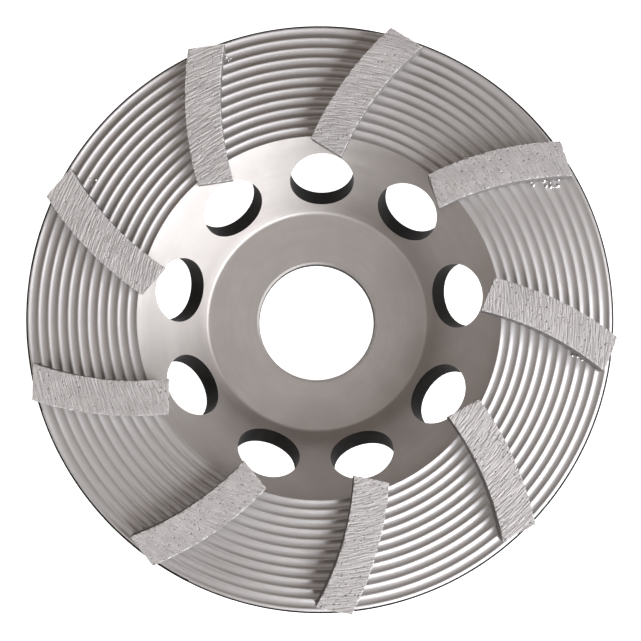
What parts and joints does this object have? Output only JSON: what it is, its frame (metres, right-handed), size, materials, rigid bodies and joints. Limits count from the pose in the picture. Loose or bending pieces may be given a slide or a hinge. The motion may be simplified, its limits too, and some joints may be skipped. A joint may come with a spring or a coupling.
{
  "type": "diamond cup wheel",
  "caption": "Round steel cup wheel for an angle grinder, with a flat bored hub, a holed cone and a grooved flat rim that carries curved diamond segments.",
  "frame": {"origin": "on the wheel's axis, in the plane of the hub's back face", "axes": "+Z along the wheel's axis, from the hub's back face towards the working faces of the segments; +Y towards the first dust hole; +X completes the right hand"},
  "size_m": [0.105, 0.105, 0.0208],
  "materials": {
    "body": "turned steel, bright, with fine rings from the lathe",
    "segment": "sintered metal with diamond grit, ground flat on its working face"
  },
  "bodies": {
    "root": {"cup_body": "body", "segment_1": "segment", "segment_2": "segment", "segment_3": "segment", "segment_4": "segment", "segment_5": "segment", "segment_6": "segment", "segment_7": "segment", "segment_8": "segment", "segment_9": "segment"}
  },
  "joints": []
}
